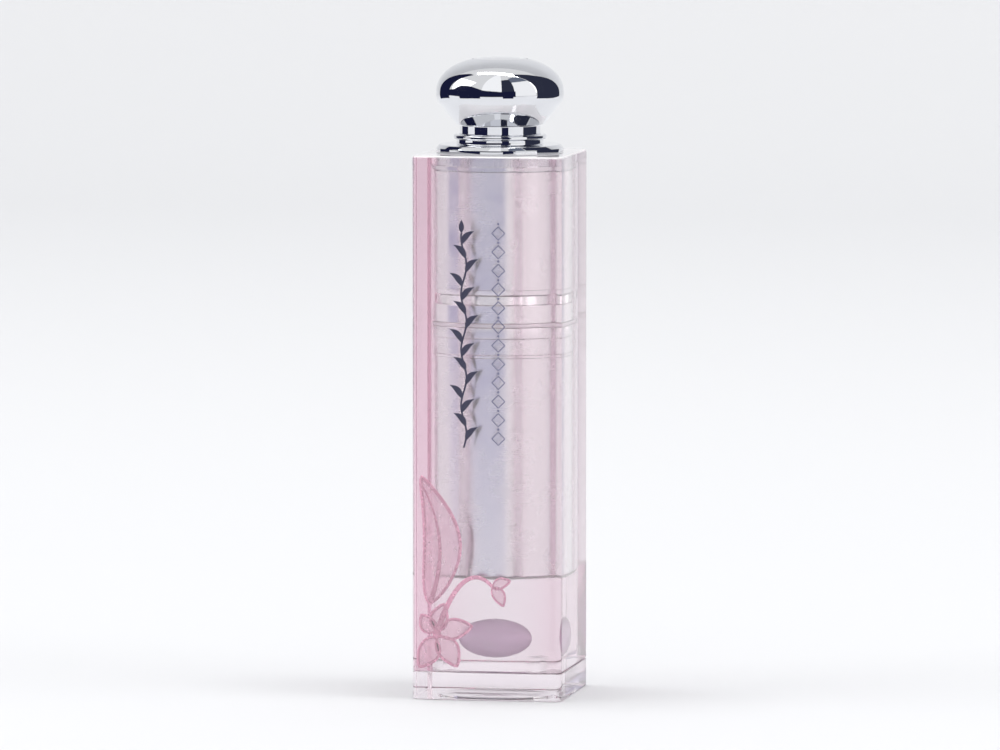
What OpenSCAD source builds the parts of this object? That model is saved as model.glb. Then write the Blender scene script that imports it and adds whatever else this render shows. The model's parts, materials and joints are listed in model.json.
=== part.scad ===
// Twist-up lip balm in a square, clear case with a push-button knob.
// The stick stands on its square foot: a silver barrel turns on the foot and screws the balm up.
// A clear sleeve with a chromed knob on top lifts off the stick, and the knob's inner cap pushes it free.
// Millimetres, +Z up, origin at the centre of the foot's underside, front face towards -Y.

/* [Case] */
// Width of the square case across its flats
case_w = 19.5; // [19.3:0.1:21]
// Radius of the case's four upright edges
corner_r = 0.9; // [0.5:0.1:1.4]
// Height of the sleeve's top face
case_h = 70; // [69.5:0.1:74]
// Height of the square foot under the sleeve
foot_h = 3.6; // [3:0.1:4]
// Height at which the clear pedestal ends and the silver barrel starts
pedestal_top = 15.5; // [14.5:0.1:15.5]

/* [Knob] */
// Widest radius of the knob
knob_r = 8.25; // [7.4:0.05:8.8]
// Height of the knob's dome above its widest line
dome_h = 4.8; // [4.2:0.1:5.4]
// Height of the widest line above the sleeve's top face
dome_z = 7.6; // [7.4:0.1:8.6]
// Radius of the knob's neck
neck_r = 5.2; // [5:0.05:5.3]
// How far the knob can be pressed
press_travel = 1.1; // [0.6:0.1:1.1]

/* [Stick] */
// Outer radius of the silver barrel
barrel_r = 8.05; // [7.95:0.05:8.1]
// How far the two polished bands stand out from the barrel
band_rise = 0.15; // [0.05:0.05:0.15]
// Height at which the barrel's polished band starts
band_z = 44; // [43:0.5:45]
// Height of the open mouth of the stick
mouth_z = 52.1; // [51.9:0.1:52.3]

/* [Balm] */
// Radius of the balm
balm_r = 5.5; // [5:0.1:5.5]
// How far the balm rises
lift = 15; // [10:0.5:15]
// Rise of the balm for each turn of the foot
lead = 12; // [11:0.5:16]
// Slope of the balm's cut tip, in degrees
tip_angle = 34; // [20:1:45]

/* [Hidden] */
$fn = 96;
cut = 1;              // how far a cutter runs past what it cuts
bite = 0.5;           // how far two shapes of one piece run into each other
run_gap = 0.07;       // radial clearance of a running fit
seat_gap = 0.02;      // clearance of a part that is pressed or glued in
end_gap = 0.1;        // clearance along Z between pieces that nearly meet
wall = 0.35;          // drawn metal shells
plastic_wall = 0.5;   // moulded inner tubes

// outline of the case, and the sleeve's inside
case_r = case_w / 2;
band_r = barrel_r + band_rise;
sleeve_bore_r = band_r + 0.15;
sleeve_z = foot_h + end_gap;
sleeve_roof = 1.4;
roof_z = case_h - sleeve_roof;
roof_hole_r = sleeve_bore_r - 0.45;

// foot: label recess, insert, the keys towards the case's corners and the spigot that holds the guide
label_r = 7.3;
label_t = 0.15;
label_recess = 0.2;
label_gap = 0.2;
insert_r = 4.4;
insert_half_h = 2.5;
insert_z = 7.4;
key_w = 2;
key_h = 1.8;
key_reach = 9.6;
key_gap = 0.2;
spigot_r = 6;
spigot_h = 4;

// screw mechanism, from the balm outwards
carrier_wall = 0.45;
carrier_r = balm_r + carrier_wall;
carrier_z = 27;
carrier_h = 9;
carrier_floor = 1;
lug_r = 0.9;
lug_z = carrier_z + 2.5;
lug_reach = 6.95;
lug_gap = 0.1;
guide_in_r = carrier_r + 0.1;
guide_r = guide_in_r + plastic_wall;
guide_top = mouth_z - 0.9;
guide_flange_h = 0.9;
guide_rim_r = 7.3;
guide_rim_h = 0.7;
slot_over = 0.3;      // how far the slots and grooves run past the lugs at each end
slot_w = 2 * (lug_r + lug_gap);
slot_z = lug_z - slot_w / 2 - slot_over;
slot_h = lift + 2 * (lug_z - slot_z);
spiral_in_r = guide_r + run_gap;
spiral_r = barrel_r - wall - seat_gap;
spiral_z = 24.5;
spiral_top = guide_top - guide_rim_h - end_gap;
groove_r = lug_reach + 0.2;
groove_slices = 72;
groove_fn = 18;
damper_z = spiral_z + 0.8;
damper_h = 0.8;
damper_depth = 0.25;
balm_z = carrier_z + carrier_floor;
balm_top = mouth_z - 1.3;

// polished bands, the soft ring between them, and the mouth
ring_z = band_z + 3.9;
ring_h = 0.6;
ring_stand_out = 0.1;
mouth_lip = 0.6;
mouth_r = balm_r + 0.25;
neck_step_z = spiral_top + end_gap + wall;
seat_in_r = guide_rim_r + run_gap;

// plate and hub on the sleeve
plate_r = roof_hole_r + 0.3;
plate_h = 1.1;
plate_round = 0.4;
hub_r = 5.6;
hub_h = 2.4;
hub_bore_r = neck_r + 0.1;
hub_floor_z = case_h + 0.2;
bead_r = 6;
bead_half_h = 0.3;
bush_z = roof_z - 0.6;
bush_wall_r = 3.4;
shank_wall = 0.9;
relief_z = case_h - 0.5;
lock_ring_r = sleeve_bore_r - 0.05;
lock_ring_h = 0.45;

// knob, its core and spring, and the inner cap
shoulder_r = 0.9;
shoulder_drop = 1.5;
waist_r = 0.55;
waist_rise = 0.1;
dome_fullness = 2.3;  // 2 makes the dome's outline an ellipse, more makes it squarer
flare_z = case_h + hub_h + press_travel + end_gap;
skirt_z = hub_floor_z + press_travel + 0.15;
core_r = 4.4;
core_h = 7.75;
core_roof = 1;
core_top = skirt_z + core_h;
pocket_r = 3.9;
pocket_top = core_top - core_roof;
cap_r = barrel_r + 0.05;
cap_wall = 0.4;
cap_roof = 0.7;
cap_top = bush_z - end_gap;
cap_z = neck_step_z + press_travel + end_gap;
boss_r = 2.2;
boss_bore_r = 1.3;
boss_h = 8.6;
boss_bore_z = cap_top + 1.2;
pin_r = boss_bore_r - seat_gap;
pin_z = boss_bore_z + 0.2;
inlay_r = 3.5;
inlay_t = 0.5;
inlay_gap = 0.08;
inlay_sink = 0.05;
spring_r = 3.15;
spring_wire_r = 0.28;
spring_turns = 6;
spring_end_gap = 0.05;
spring_z = hub_floor_z + spring_end_gap;
spring_top = pocket_top - spring_end_gap;

// ---- shapes that repeat ----

// Upright tube from height z0 to z1; an inner radius of 0 makes a solid disc.
module tube(outer, inner, z0, z1) {
    translate([0, 0, z0]) difference() {
        cylinder(r = outer, h = z1 - z0);
        if (inner > 0) translate([0, 0, -cut]) cylinder(r = inner, h = z1 - z0 + 2 * cut);
    }
}

// Square column with round upright edges, from height z0 to z1.
module square_column(width, r, z0, z1) {
    h = z1 - z0;
    side = width - 2 * r;
    translate([0, 0, z0]) union() {
        translate([-width / 2, -side / 2, 0]) cube([width, side, h]);
        translate([-side / 2, -width / 2, 0]) cube([side, width, h]);
        for (x = [-1, 1], y = [-1, 1]) translate([x * side / 2, y * side / 2, 0]) cylinder(r = r, h = h);
    }
}

// Four blocks that stand out towards the case's corners and index the sleeve on the foot.
module corner_keys(width, reach, z0, z1) {
    root_r = barrel_r - cut;
    for (a = [45:90:315]) rotate([0, 0, a])
        translate([root_r, -width / 2, z0]) cube([reach - root_r, width, z1 - z0]);
}

// Points of an ellipse's arc in the upright plane, from angle a0 to a1 in steps of the given size.
function ellipse_arc(rx, rz, cx, cz, a0, step, a1) =
    [for (a = [a0:step:a1]) [cx + rx * cos(a), cz + rz * sin(a)]];

// Outline of the knob's dome from its top down to its widest line, drawn in by the given distance.
function dome_outline(sink) = let (r = knob_r - sink, h = dome_h - sink, power = 2 / dome_fullness)
    [for (a = [90:-5:5]) [r * pow(cos(a), power), case_h + dome_z + h * pow(sin(a), power)]];

// Closed ellipsoid of revolution about Z.
module ellipsoid(rx, rz, cz) {
    rotate_extrude() polygon(concat([[0, cz - rz]], ellipse_arc(rx, rz, 0, cz, -80, 10, 80), [[0, cz + rz]]));
}

// ---- base: foot, its insert, label and weight, and the tube that guides the balm ----

module base_foot() {
    color([0.97, 0.78, 0.84, 0.5]) difference() {
        union() {
            square_column(case_w, corner_r, 0, foot_h);
            corner_keys(key_w, key_reach, foot_h - bite, foot_h + key_h);
            tube(barrel_r, 0, foot_h - bite, pedestal_top);
            tube(spigot_r, 0, pedestal_top - bite, pedestal_top + spigot_h);
        }
        ellipsoid(insert_r + seat_gap, insert_half_h + seat_gap, insert_z);
        translate([0, 0, -cut]) cylinder(r = label_r + label_gap, h = cut + label_recess);
    }
}

module shade_insert() {
    color([0.62, 0.45, 0.55]) ellipsoid(insert_r, insert_half_h, insert_z);
}

module base_label() {
    color([0.80, 0.78, 0.80]) tube(label_r, 0, label_recess - label_t, label_recess);
}

module base_weight() {
    color([0.55, 0.56, 0.58])
        tube(guide_in_r - end_gap, 0, pedestal_top + spigot_h + end_gap, carrier_z - 4 * end_gap);
}

// The tube stands on the pedestal and keeps the carrier's two lugs in its upright slots.
module guide_tube() {
    foot_z = pedestal_top + seat_gap;
    color([0.93, 0.93, 0.91]) difference() {
        union() {
            tube(guide_r, guide_in_r, foot_z, guide_top);
            tube(spiral_r - end_gap, guide_in_r, foot_z, foot_z + guide_flange_h);
            tube(guide_rim_r, guide_in_r, guide_top - guide_rim_h, guide_top);
        }
        translate([-groove_r, -slot_w / 2, slot_z]) cube([2 * groove_r, slot_w, slot_h]);
        tube(guide_r + cut, guide_r - damper_depth, damper_z - end_gap, damper_z + damper_h + end_gap);
    }
}

// Greased soft ring that makes the barrel turn smoothly and stay where it is put.
module damping_ring() {
    color([0.85, 0.86, 0.88])
        tube(spiral_in_r - seat_gap, guide_r - damper_depth + seat_gap, damper_z, damper_z + damper_h);
}

// ---- barrel: the silver tube that turns on the foot, and the screw inside it ----

module barrel_tube() {
    bore_r = barrel_r - wall;
    color([0.86, 0.84, 0.87]) union() {
        tube(barrel_r, bore_r, pedestal_top + 3 * end_gap, band_z + bite);
        tube(band_r, bore_r, band_z, ring_z);
    }
}

// One horizontal slice of a helical groove: a sector that reaches from the bore to the groove's floor.
module groove_slice(half_angle) {
    steps = 6;
    root_r = spiral_in_r - 0.3;
    outer = [for (i = [0:steps]) let (a = half_angle * (2 * i / steps - 1)) groove_r * [cos(a), sin(a)]];
    inner = [for (side = [1, -1]) root_r * [cos(side * half_angle), sin(side * half_angle)]];
    polygon(concat(outer, inner));
}

// The tube with two helical grooves: as it turns, the grooves carry the carrier's lugs up the guide's slots.
module spiral_tube() {
    helix_slope = lead / (2 * PI * spiral_in_r);
    groove_half_h = slot_w / 2 * sqrt(1 + helix_slope * helix_slope);
    half_angle = 360 * groove_half_h / lead;
    start_angle = 360 * (lug_z - slot_z) / lead;
    groove_turn = 360 * slot_h / lead;
    color([0.90, 0.90, 0.88]) difference() {
        tube(spiral_r, spiral_in_r, spiral_z, spiral_top);
        translate([0, 0, slot_z])
            linear_extrude(height = slot_h, twist = groove_turn, slices = groove_slices, $fn = groove_fn)
                for (side = [0, 180]) rotate(side + start_angle) groove_slice(half_angle);
    }
}

// Soft ring in the gap between the two bands: it grips the sleeve's bore.
module friction_ring() {
    bead = ring_h / 2 - seat_gap;
    root_r = barrel_r - wall + seat_gap;
    bead_mid_r = band_r + ring_stand_out - bead;
    color([0.70, 0.66, 0.70]) rotate_extrude() union() {
        translate([root_r, ring_z + seat_gap]) square([bead_mid_r - root_r, 2 * bead]);
        translate([bead_mid_r, ring_z + ring_h / 2]) circle(r = bead);
    }
}

// Polished band whose upper end steps in to a seat, which the inner cap's rim fits round.
module neck_shell() {
    seat_r = cap_r - cap_wall - run_gap;
    color([0.88, 0.87, 0.89]) union() {
        tube(band_r, barrel_r - wall, ring_z + ring_h, neck_step_z);
        tube(band_r, seat_in_r, neck_step_z - wall, neck_step_z);
        tube(seat_r, seat_in_r, neck_step_z - wall, mouth_z);
        tube(seat_r, mouth_r, mouth_z - mouth_lip, mouth_z);
    }
}

// ---- carrier: the cup with its two lugs, and the balm ----

module carrier_cup() {
    root_r = carrier_r - carrier_wall / 2;
    color([0.95, 0.95, 0.94]) union() {
        difference() {
            tube(carrier_r, 0, carrier_z, carrier_z + carrier_h);
            tube(balm_r + seat_gap, 0, balm_z, carrier_z + carrier_h + cut);
        }
        for (side = [0, 180]) rotate([0, 0, side]) translate([root_r, 0, lug_z])
            rotate([0, 90, 0]) cylinder(r = lug_r, h = lug_reach - root_r);
    }
}

module balm_bullet() {
    cutter = 4 * balm_r;
    color([0.93, 0.55, 0.63]) difference() {
        tube(balm_r, 0, balm_z, balm_top);
        translate([0, balm_r, balm_top]) rotate([tip_angle, 0, 0])
            translate([-cutter / 2, cut - cutter, 0]) cube(cutter);
    }
}

// ---- sleeve: the clear square case, the chromed plate on it, its lock ring and the spring ----

module outer_sleeve() {
    color([0.97, 0.80, 0.86, 0.4]) difference() {
        square_column(case_w, corner_r, sleeve_z, case_h);
        tube(sleeve_bore_r, 0, sleeve_z - cut, roof_z);
        tube(roof_hole_r, 0, roof_z - cut, case_h + cut);
        corner_keys(key_w + 2 * key_gap, key_reach + key_gap, sleeve_z - cut, foot_h + key_h + key_gap);
    }
}

// Plate and hub are one turned part: the hub guides the knob's neck, the bush below guides the boss.
// The shank that fills the hole in the sleeve's roof is relieved from below, round the bush.
module top_plate() {
    shank_r = roof_hole_r - seat_gap;
    bush_r = boss_r + run_gap;
    plate_top = case_h + plate_h;
    hub_top = case_h + hub_h;
    bush = [[bush_r, bush_z], [bush_wall_r, bush_z], [bush_wall_r, relief_z]];
    relief_r = shank_r - shank_wall;
    relief = [[relief_r, relief_z], [relief_r, bush_z]];
    shank = [[shank_r, bush_z], [shank_r, case_h], [plate_r, case_h]];
    rim = ellipse_arc(plate_round, plate_round, plate_r - plate_round, plate_top - plate_round, 0, 15, 90);
    hub = [[hub_r, plate_top], [hub_r, hub_top - 2 * bead_half_h]];
    bead = ellipse_arc(bead_r - hub_r, bead_half_h, hub_r, hub_top - bead_half_h, -80, 20, 80);
    bore = [[hub_bore_r, hub_top], [hub_bore_r, hub_floor_z], [bush_r, hub_floor_z]];
    color([0.88, 0.89, 0.91]) rotate_extrude() polygon(concat(bush, relief, shank, rim, hub, bead, bore));
}

// Ring sprung over the plate's shank under the sleeve's roof, so that the plate can't lift out.
module lock_ring() {
    top = roof_z - spring_end_gap;
    color([0.60, 0.61, 0.63]) tube(lock_ring_r, roof_hole_r, top - lock_ring_h, top);
}

// Ring of a swept wire: one polygon of points about the helix at the given turn.
function wire_ring(turn, sides) = let (
        a = 360 * turn,
        rise = spring_top - spring_z - 2 * spring_wire_r,
        z = spring_z + spring_wire_r + rise * turn / spring_turns,
        out = [cos(a), sin(a), 0]
    ) [for (k = [0:sides - 1]) let (b = 360 * k / sides)
        (spring_r + spring_wire_r * cos(b)) * out + [0, 0, z + spring_wire_r * sin(b)]];

module knob_spring() {
    sides = 8;
    per_turn = 18;
    rings = spring_turns * per_turn;
    points = [for (i = [0:rings]) each wire_ring(i / per_turn, sides)];
    skin = [for (i = [0:rings - 1], k = [0:sides - 1])
        let (a = i * sides, b = (i + 1) * sides, n = (k + 1) % sides) [a + k, a + n, b + n, b + k]];
    ends = [[for (k = [sides - 1:-1:0]) k], [for (k = [0:sides - 1]) rings * sides + k]];
    color([0.72, 0.73, 0.75]) polyhedron(points = points, faces = concat(skin, ends), convexity = 8);
}

// ---- knob: the chromed shell, its core and inlay, and the inner cap that it pushes ----

// Below its widest line the knob turns in over a short shoulder, then runs down a cone into the neck.
module knob_shell() {
    widest = case_h + dome_z;
    bore_r = core_r + seat_gap;
    bore_top = core_top + seat_gap;
    shoulder = ellipse_arc(shoulder_r, shoulder_drop, knob_r - shoulder_r, widest, 0, -10, -50);
    waist = [[neck_r + waist_r, flare_z + waist_rise], [neck_r, flare_z]];
    neck = [[neck_r, skirt_z + end_gap], [neck_r - end_gap, skirt_z]];
    bore = [[bore_r, skirt_z], [bore_r, bore_top], [0, bore_top]];
    color([0.90, 0.91, 0.93]) difference() {
        rotate_extrude() polygon(concat(dome_outline(0), shoulder, waist, neck, bore));
        tube(inlay_r + inlay_gap, 0, widest + dome_h - inlay_t - seat_gap, widest + dome_h + cut);
    }
}

// The core is pressed into the shell, and its pin into the inner cap's boss.
module knob_core() {
    color([0.93, 0.92, 0.90]) union() {
        tube(core_r, pocket_r, skirt_z, pocket_top + bite);
        tube(core_r, 0, pocket_top, core_top);
        tube(pin_r, 0, pin_z, pocket_top + bite);
    }
}

module knob_inlay() {
    widest = case_h + dome_z;
    color([0.93, 0.93, 0.95]) intersection() {
        tube(inlay_r, 0, widest + dome_h - inlay_t, widest + dome_h + cut);
        rotate_extrude() polygon(concat(dome_outline(inlay_sink), [[0, widest]]));
    }
}

module inner_cap() {
    color([0.86, 0.84, 0.87]) union() {
        difference() {
            tube(cap_r, 0, cap_z, cap_top);
            tube(cap_r - cap_wall, 0, cap_z - cut, cap_top - cap_roof);
        }
        difference() {
            tube(boss_r, 0, cap_top - cap_roof / 2, cap_top + boss_h);
            tube(boss_bore_r, 0, boss_bore_z, cap_top + boss_h + cut);
        }
    }
}

base_foot();
shade_insert();
base_label();
base_weight();
guide_tube();
damping_ring();
barrel_tube();
spiral_tube();
friction_ring();
neck_shell();
carrier_cup();
balm_bullet();
outer_sleeve();
top_plate();
lock_ring();
knob_spring();
knob_shell();
knob_core();
knob_inlay();
inner_cap();
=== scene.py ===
"""Looks of a twist-up balm stick in a square clear case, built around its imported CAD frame.

Lengths below are in millimetres unless their name ends in _m or _M. The frame gives each CAD node's extent,
and the named values give what an extent can't tell, such as a wall or a rounding.
"""

import json
import math

import bmesh
import bpy
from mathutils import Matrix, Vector


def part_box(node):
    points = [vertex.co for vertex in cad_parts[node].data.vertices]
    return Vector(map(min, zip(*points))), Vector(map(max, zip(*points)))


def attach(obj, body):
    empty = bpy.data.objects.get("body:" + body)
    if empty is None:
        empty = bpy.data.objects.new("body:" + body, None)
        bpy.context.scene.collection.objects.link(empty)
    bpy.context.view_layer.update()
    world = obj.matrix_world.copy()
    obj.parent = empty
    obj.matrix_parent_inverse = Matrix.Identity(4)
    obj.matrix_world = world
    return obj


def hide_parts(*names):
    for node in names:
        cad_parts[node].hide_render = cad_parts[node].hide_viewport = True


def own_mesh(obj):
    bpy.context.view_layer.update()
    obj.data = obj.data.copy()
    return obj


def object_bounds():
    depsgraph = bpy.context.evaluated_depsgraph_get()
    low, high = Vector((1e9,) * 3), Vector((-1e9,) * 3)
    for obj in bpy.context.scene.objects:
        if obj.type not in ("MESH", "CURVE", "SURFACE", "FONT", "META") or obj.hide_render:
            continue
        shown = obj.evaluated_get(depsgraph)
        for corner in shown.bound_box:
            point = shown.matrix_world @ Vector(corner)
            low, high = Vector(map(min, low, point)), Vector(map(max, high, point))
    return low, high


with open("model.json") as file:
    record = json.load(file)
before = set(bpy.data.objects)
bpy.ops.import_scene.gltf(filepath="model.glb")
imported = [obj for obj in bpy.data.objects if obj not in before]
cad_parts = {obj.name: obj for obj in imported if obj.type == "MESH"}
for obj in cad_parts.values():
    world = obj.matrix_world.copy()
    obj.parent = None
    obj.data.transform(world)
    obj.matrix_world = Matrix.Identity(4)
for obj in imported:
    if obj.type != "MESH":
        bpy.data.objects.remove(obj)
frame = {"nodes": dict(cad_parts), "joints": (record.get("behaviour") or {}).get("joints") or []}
CAD_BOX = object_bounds()
MM = 0.001


# ---- sizes, from the frame where it tells them ----

def low(node):
    """A CAD node's lowest corner at rest, in mm."""
    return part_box(node)[0] / MM


def high(node):
    """A CAD node's highest corner at rest, in mm."""
    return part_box(node)[1] / MM


SEAT_GAP = 0.02
END_GAP = 0.1
BAND_RISE = 0.15
METAL = 0.35
CASE_HALF = high("outer_sleeve").x
CASE_TOP = high("outer_sleeve").z
CORNER_R = 0.9
SLEEVE_BOTTOM = low("outer_sleeve").z
FOOT_TOP = SLEEVE_BOTTOM - END_GAP
PEDESTAL_TOP = low("guide_tube").z - SEAT_GAP
BARREL_BOTTOM = low("barrel_tube").z
BAND_TOP = high("barrel_tube").z
BAND_R = high("barrel_tube").x
BARREL_R = BAND_R - BAND_RISE
BARREL_BORE_R = BARREL_R - METAL
SLEEVE_BORE_R = BAND_R + 0.15
SLEEVE_ROOF = 1.4
ROOF_HOLE_R = SLEEVE_BORE_R - 0.45
MOUTH_Z = high("neck_shell").z
PRESS_TRAVEL = next(j for j in frame["joints"] if j["name"] == "knob_press")["range_m"][1] / MM
NECK_STEP = low("inner_cap").z - PRESS_TRAVEL - END_GAP
BOSS_R = 2.2
BOSS_H = 8.6
HUB_TOP = high("top_plate").z
KNOB_NECK_R = 5.2
KNOB_R = high("knob_shell").x
KNOB_TOP = high("knob_inlay").z + 0.05
KNOB_WIDEST = CASE_TOP + 7.6
DOME_FULLNESS = 2.3
INLAY_R = high("knob_inlay").x
KEY_REACH = 9.6
KEY_HALF = 1.0
KEY_GAP = 0.2
KEY_TOP = FOOT_TOP + 1.8
TAU = 2 * math.pi
LATHE_STEPS = 144


# ---- mesh helpers ----

def new_piece(name, mesh, body, surface, replaces=(), sharp_deg=38):
    """Turns a bmesh into a smooth-shaded piece that rides on a body and stands for these CAD nodes."""
    bmesh.ops.recalc_face_normals(mesh, faces=mesh.faces)
    data = bpy.data.meshes.new(name)
    mesh.to_mesh(data)
    mesh.free()
    piece = bpy.data.objects.new(name, data)
    bpy.context.scene.collection.objects.link(piece)
    data.polygons.foreach_set("use_smooth", [True] * len(data.polygons))
    data.set_sharp_from_angle(angle=math.radians(sharp_deg))
    normals = piece.modifiers.new("even_normals", "WEIGHTED_NORMAL")
    normals.keep_sharp = True
    data.materials.append(surface)
    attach(piece, body)
    if replaces:
        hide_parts(*replaces)
    return piece


def join_rings(mesh, a, b):
    """Faces between two rings of vertices; a ring of one vertex is a pole."""
    count = max(len(a), len(b))
    if count == 1:
        return
    for i in range(count):
        k = (i + 1) % count
        if len(a) == 1:
            mesh.faces.new((a[0], b[i], b[k]))
        elif len(b) == 1:
            mesh.faces.new((a[i], b[0], a[k]))
        else:
            mesh.faces.new((a[i], b[i], b[k], a[k]))


def loft(sections, wrap=False):
    """Closed bmesh through sections of equally many points; wrap joins the last section to the first."""
    mesh = bmesh.new()
    rings = [[mesh.verts.new(Vector(p) * MM) for p in section] for section in sections]
    for a, b in zip(rings, rings[1:] + (rings[:1] if wrap else [])):
        join_rings(mesh, a, b)
    if not wrap:
        for ring in (rings[0], rings[-1]):
            if len(ring) > 2:
                mesh.faces.new(ring)
    bmesh.ops.remove_doubles(mesh, verts=mesh.verts, dist=1e-7)
    return mesh


def circle(r, z, steps=LATHE_STEPS):
    """Level ring of points of radius r at height z, or one point on the axis."""
    if r < 1e-6:
        return [(0, 0, z)]
    return [(r * math.cos(TAU * i / steps), r * math.sin(TAU * i / steps), z) for i in range(steps)]


def lathe(outline, steps=LATHE_STEPS):
    """Closed outline [(r, z)] turned about Z. An outline that starts and ends on the axis isn't wrapped."""
    on_axis = outline[0][0] < 1e-6 and outline[-1][0] < 1e-6
    return loft([circle(r, z, steps) for r, z in outline], wrap=not on_axis)


def rounded(corners, steps=5):
    """Outline whose corners (r, z) or (r, z, fillet) are rounded by an arc of their fillet radius."""
    points = []
    count = len(corners)
    for i, corner in enumerate(corners):
        here = Vector(corner[:2])
        fillet = corner[2] if len(corner) > 2 else 0
        if not fillet:
            points.append(tuple(here))
            continue
        back = Vector(corners[i - 1][:2]) - here
        ahead = Vector(corners[(i + 1) % count][:2]) - here
        half = back.angle(ahead) / 2
        reach = min(fillet / math.tan(half), 0.48 * back.length, 0.48 * ahead.length)
        start = here + back.normalized() * reach
        end = here + ahead.normalized() * reach
        middle = here + (back.normalized() + ahead.normalized()).normalized() * reach / math.cos(half)
        a0 = math.atan2(start.y - middle.y, start.x - middle.x)
        a1 = math.atan2(end.y - middle.y, end.x - middle.x)
        turn = (a1 - a0 + math.pi) % TAU - math.pi
        radius = (start - middle).length
        for k in range(steps + 1):
            a = a0 + turn * k / steps
            points.append((middle.x + radius * math.cos(a), middle.y + radius * math.sin(a)))
    return points


def quarter(radius, steps=5):
    """(inset, drop) of points round a convex edge, from the face it bounds down to the side."""
    angles = [math.pi / 2 * k / steps for k in range(steps + 1)]
    return [(radius * (1 - math.sin(a)), radius * (1 - math.cos(a))) for a in angles]


# ---- cross-sections of the square case ----

def case_outline():
    """Points (x, y) of the case's outline, each with its outward normal.

    The round sections use the same angles, so that loft can join them to the square ones. Among them are
    the angles of the edges of the foot's keys and the sleeve's notches.
    """
    corner_steps = 8
    notch_reach, notch_half = KEY_REACH + KEY_GAP, KEY_HALF + KEY_GAP
    edges = [math.atan2(KEY_HALF, KEY_REACH), math.asin(KEY_HALF / BARREL_R),
             math.atan2(notch_half, notch_reach), math.asin(notch_half / SLEEVE_BORE_R)]
    side = [math.radians(3 * k) for k in range(13)] + sorted(math.pi / 4 - e for e in edges)
    side += [math.radians(40.5), math.radians(41.5)]
    side.sort()
    centre = CASE_HALF - CORNER_R
    arc = [math.pi / 2 * k / corner_steps for k in range(corner_steps + 1)]
    quadrant = [((CASE_HALF, CASE_HALF * math.tan(a)), (1, 0)) for a in side]
    quadrant += [((centre + CORNER_R * math.cos(a), centre + CORNER_R * math.sin(a)),
                  (math.cos(a), math.sin(a))) for a in arc]
    quadrant += [((CASE_HALF * math.tan(a), CASE_HALF), (0, 1)) for a in reversed(side[1:])]
    points = []
    for q in range(4):
        c, s = round(math.cos(q * math.pi / 2)), round(math.sin(q * math.pi / 2))
        points += [((x * c - y * s, x * s + y * c), (u * c - v * s, u * s + v * c))
                   for (x, y), (u, v) in quadrant]
    return points


OUTLINE = case_outline()
ANGLES = [math.atan2(y, x) for (x, y), _ in OUTLINE]


def case_section(inset, z):
    """The case's square outline at height z, drawn in by inset."""
    return [(x - inset * u, y - inset * v, z) for (x, y), (u, v) in OUTLINE]


def round_section(r, z):
    """Circle at height z with its points at the outline's angles."""
    return [(r * math.cos(a), r * math.sin(a), z) for a in ANGLES]


def keyed_section(r, reach, half_width, z):
    """Circle at height z from which four blocks stand out towards the case's corners."""
    points = []
    for a in ANGLES:
        off = (a % (math.pi / 2)) - math.pi / 4
        along = reach / math.cos(off)
        beside = half_width / max(abs(math.sin(off)), 1e-9)
        far = along if abs(math.tan(off)) * reach <= half_width + 1e-9 else max(r, beside)
        points.append((far * math.cos(a), far * math.sin(a), z))
    return points


# ---- material helpers ----

def principled(name, sockets):
    """New material whose Principled shader has these plain socket values."""
    surface = bpy.data.materials.new(name)
    surface.use_nodes = True
    shader = surface.node_tree.nodes["Principled BSDF"]
    for socket, value in sockets.items():
        shader.inputs[socket].default_value = value
    return surface


def shader_of(surface):
    return surface.node_tree.nodes["Principled BSDF"]


def add(surface, kind, links=(), **settings):
    """New node of that kind; links maps its input names to sockets or plain values."""
    node = surface.node_tree.nodes.new(kind)
    for key, value in settings.items():
        setattr(node, key, value)
    for socket, source in dict(links).items():
        if isinstance(source, bpy.types.NodeSocket):
            surface.node_tree.links.new(source, node.inputs[socket])
        else:
            node.inputs[socket].default_value = source
    return node


def feed(surface, source, socket):
    surface.node_tree.links.new(source, shader_of(surface).inputs[socket])


def place(surface, stretch=(1, 1, 1), turn=(0, 0, 0)):
    """Position on the piece in mm, stretched and turned."""
    coords = add(surface, "ShaderNodeTexCoord").outputs["Object"]
    scale = [s / MM for s in stretch]
    return add(surface, "ShaderNodeMapping", {"Vector": coords, "Scale": scale, "Rotation": turn}).outputs[0]


def noise(surface, where, grain_mm, detail=3.0, roughness=0.5):
    """Cloudy noise from 0 to 1 with grains of about grain_mm."""
    links = {"Vector": where, "Scale": 1 / grain_mm, "Detail": detail, "Roughness": roughness}
    return add(surface, "ShaderNodeTexNoise", links).outputs["Fac"]


def spread(surface, source, start, end, source_low=0.3, source_high=0.7):
    """source, from source_low to source_high, mapped to the range from start to end and held within it."""
    limits = {"From Min": source_low, "From Max": source_high, "To Min": start, "To Max": end}
    return add(surface, "ShaderNodeMapRange", {"Value": source, **limits}).outputs[0]


def shades(surface, source, dark, light):
    """Colour between two shades, by source."""
    return add(surface, "ShaderNodeMix", {"Factor": source, 6: (*dark, 1), 7: (*light, 1)},
               data_type="RGBA").outputs[2]


def relief(surface, height, depth_mm, strength=1.0, over=None):
    """Bump of that depth, on top of another bump if one is given."""
    links = {"Height": height, "Distance": depth_mm * MM, "Strength": strength}
    if over is not None:
        links["Normal"] = over
    return add(surface, "ShaderNodeBump", links).outputs[0]


def total(surface, a, b, operation="ADD"):
    return add(surface, "ShaderNodeMath", {0: a, 1: b}, operation=operation).outputs[0]


def hairlines(surface, turn, length_mm, width_mm, share):
    """Sparse fine scratches, 1 on a scratch: noise drawn out along one direction and cut off near its top."""
    where = place(surface, (1 / width_mm, 1 / width_mm, 1 / length_mm), turn)
    lines = noise(surface, where, grain_mm=1.0, detail=1.0)
    soft_edge = 0.05
    return spread(surface, lines, 0.0, 1.0, 1 - share, 1 - share + soft_edge)


def dimmed(tone, share):
    """A colour whose channels are multiplied by share."""
    return tuple(share * c for c in tone)


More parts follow.
